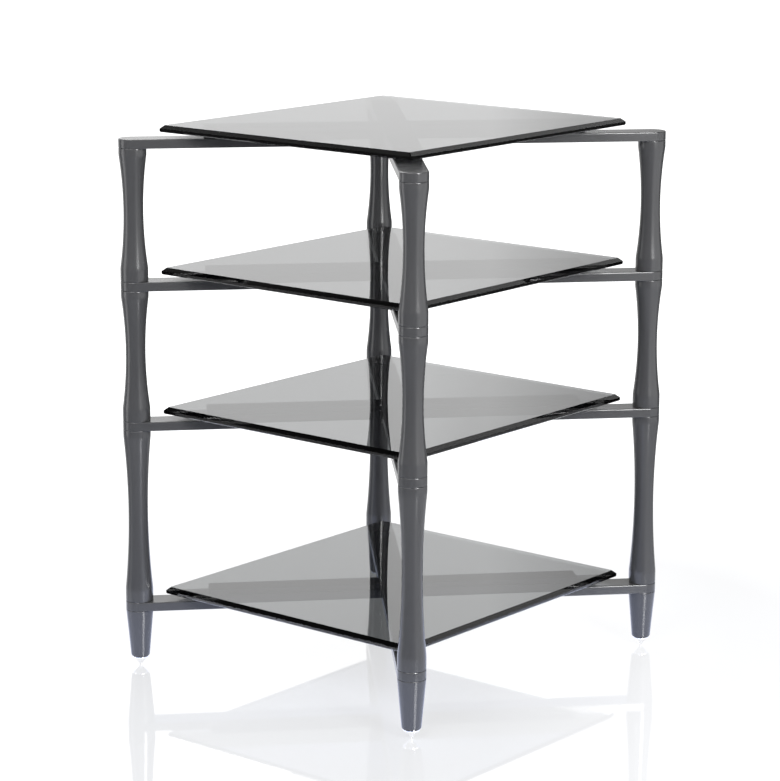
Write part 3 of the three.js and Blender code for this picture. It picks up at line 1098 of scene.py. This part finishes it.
for tier in TIERS:
    for layer in LAYERS:
        node = f"crossbar_{layer}_{tier}"
        low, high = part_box(node)
        thickness = high.z - low.z
        span, turn, crossing = across(layer)
        cutter = bmesh.new()
        bore_top = STUD_TOP_REACH if tier == 1 else thickness + CUT_OVERRUN
        for end in (-1, 1):
            bore(cutter, end * span / 2, -CUT_OVERRUN, bore_top)
        lap_block(cutter, layer, crossing, BAR_WIDTH, thickness)
        shape = cut(bar_blank(span, thickness), cutter)
        set_down(shape, turn, low.z)
        name = f"flat_bar_{layer}_{tier}"
        flat_shading(finish_piece(shape, name, node, COAT))
print(count_made("flat_bar"), "bars made")

# %% [markdown]
# The rest strips lie along the middle of the bars and lift the glass clear of the bar ends. They
# are halved at the crossing too, so that their tops stay level.

# %% Rest strips
STRIP_WIDTH = 45.0 * MM
STRIP_END_FROM_LEG = 123.0 * MM
STRIP_CORNER = 3.0 * MM
STRIP_EDGE, STRIP_EDGE_SEGMENTS = 1.0 * MM, 3
PLATE_CORNER_SEGMENTS = 5


def plate(length, width, thickness, corner):
    """A plate on the XY plane whose upright edges are rounded."""
    shape = bmesh.new()
    block(shape, (length, width, thickness), (0, 0, thickness / 2))
    upright = [
        edge for edge in shape.edges
        if abs(edge.verts[0].co.z - edge.verts[1].co.z) > thickness / 2
    ]
    bevel_edges(shape, upright, corner, PLATE_CORNER_SEGMENTS)
    return shape


for tier in TIERS:
    for layer in LAYERS:
        node = f"rest_strip_{layer}_{tier}"
        low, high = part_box(node)
        thickness = high.z - low.z
        span, turn, crossing = across(layer)
        shape = plate(span - 2 * STRIP_END_FROM_LEG, STRIP_WIDTH, thickness, STRIP_CORNER)
        for height in (thickness, 0):
            round_edges(shape, height, STRIP_EDGE, STRIP_EDGE_SEGMENTS)
        cutter = bmesh.new()
        lap_block(cutter, layer, crossing, STRIP_WIDTH, thickness)
        shape = cut(shape, cutter)
        set_down(shape, turn, low.z)
        name = f"soft_strip_{layer}_{tier}"
        flat_shading(finish_piece(shape, name, node, RUBBER))
print(count_made("soft_strip"), "strips made")

# %% [markdown]
# ## Glass
#
# A shelf is a plate of float glass. Its top edge has a wide ground bevel, as steep as it is broad,
# whose corners meet in a mitre. The lower edge has a small arris. Each sharp line is broken by a
# hair-fine polish, which is what draws the thin bright lines along the edge of real glass. A lower
# limit for sharp angles keeps the two facets of that polish apart.

# %% Shelves
GLASS_BEVEL_WIDTH = 6.5 * MM
GLASS_BEVEL_HEIGHT = 6.0 * MM
GLASS_ARRIS = 1.7 * MM
GLASS_POLISH, GLASS_POLISH_SEGMENTS = 0.25 * MM, 2
GLASS_CORNER = 3.0 * MM
GLASS_SHARP_DEGREES = 12


def glass_shape(length, width, thickness):
    """A shelf centred on the origin, with its underside at height 0."""
    bevel_foot = thickness - GLASS_BEVEL_HEIGHT
    shape = plate(length, width, bevel_foot, GLASS_CORNER)
    top = max(shape.faces, key=lambda face: face.calc_center_median().z)
    grown = bmesh.ops.extrude_face_region(shape, geom=[top])
    lifted = [item for item in grown["geom"] if isinstance(item, bmesh.types.BMVert)]
    bmesh.ops.delete(shape, geom=[top], context="FACES_ONLY")
    bmesh.ops.translate(shape, verts=lifted, vec=(0, 0, GLASS_BEVEL_HEIGHT))
    shrink = (1 - 2 * GLASS_BEVEL_WIDTH / length, 1 - 2 * GLASS_BEVEL_WIDTH / width, 1)
    bmesh.ops.scale(shape, verts=lifted, vec=shrink)
    round_edges(shape, 0, GLASS_ARRIS, segments=1)
    for height in (0, GLASS_ARRIS, bevel_foot, thickness):
        round_edges(shape, height, GLASS_POLISH, GLASS_POLISH_SEGMENTS)
    return shape


shelves = []
for tier in TIERS:
    node = f"glass_shelf_{tier}"
    low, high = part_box(node)
    shape = glass_shape(*(high - low))
    bmesh.ops.translate(shape, verts=shape.verts, vec=(*middle(node).xy, low.z))
    shelf = finish_piece(
        shape, f"bevelled_glass_{tier}", node, GLASS, GLASS_SHARP_DEGREES,
    )
    flat_shading(shelf)
    shelves.append(shelf)
print(len(shelves), "shelves made")

# %% [markdown]
# Seen from other sides, the tops of the shelves would mirror the two boxes that stand low beside
# the rack, as hard-edged white patches. A photographer would screen them off with a black card. In
# Blender, light linking does that: the two boxes leave out the glass, and light everything else.
# A pale card on the floor beside the rack does the opposite. It lies where the upright faces along
# the left edge mirror the camera's line of sight, lights the glass alone, and lifts those faces
# from black to dark grey.

# %% Cards
CARD_TURN = math.radians(141)
CARD_REACH = (0.15, 4.75)
CARD_WIDTH = 1.3
CARD_HEIGHT = 0.01
CARD_WATTS = 9.5


def glass_only(name):
    """A collection that holds the shelves, for a lamp to link to."""
    group = bpy.data.collections.new(name)
    for shelf in shelves:
        group.objects.link(shelf)
    return group


screened = glass_only("screened glass")
for member in screened.collection_objects:
    member.light_linking.link_state = "EXCLUDE"
for box in (low_box, left_box):
    box.light_linking.receiver_collection = screened

card_start, card_end = CARD_REACH
glass_edge = Vector((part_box("glass_shelf_4")[0].x, 0, CARD_HEIGHT))
card_middle = glass_edge + direction(CARD_TURN, 0) * (card_start + card_end) / 2
above_card = card_middle + Vector((0, 0, 1))
card_length = card_end - card_start
card = soft_box("edge card", card_middle, above_card, card_length, CARD_WIDTH, CARD_WATTS)
# It lies face up, with its long side along the turn.
card.rotation_quaternion = Quaternion((0, 0, 1), CARD_TURN) @ Quaternion((1, 0, 0), math.pi)
card.visible_diffuse = False
card.visible_transmission = False
card.light_linking.receiver_collection = glass_only("glass lit by the card")
print("the glass leaves out", low_box.name, "and", left_box.name, "and adds", card.name)

# %% [markdown]
# ## Look and hand over
#
# The Standard transform shows each colour as it is written. The box of the dressed rack is printed,
# as the box of the CAD model was at the start.

# %% Finish
bpy.context.scene.view_settings.view_transform = "Standard"
low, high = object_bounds()
print("visual box", [round(v, 4) for v in high - low])
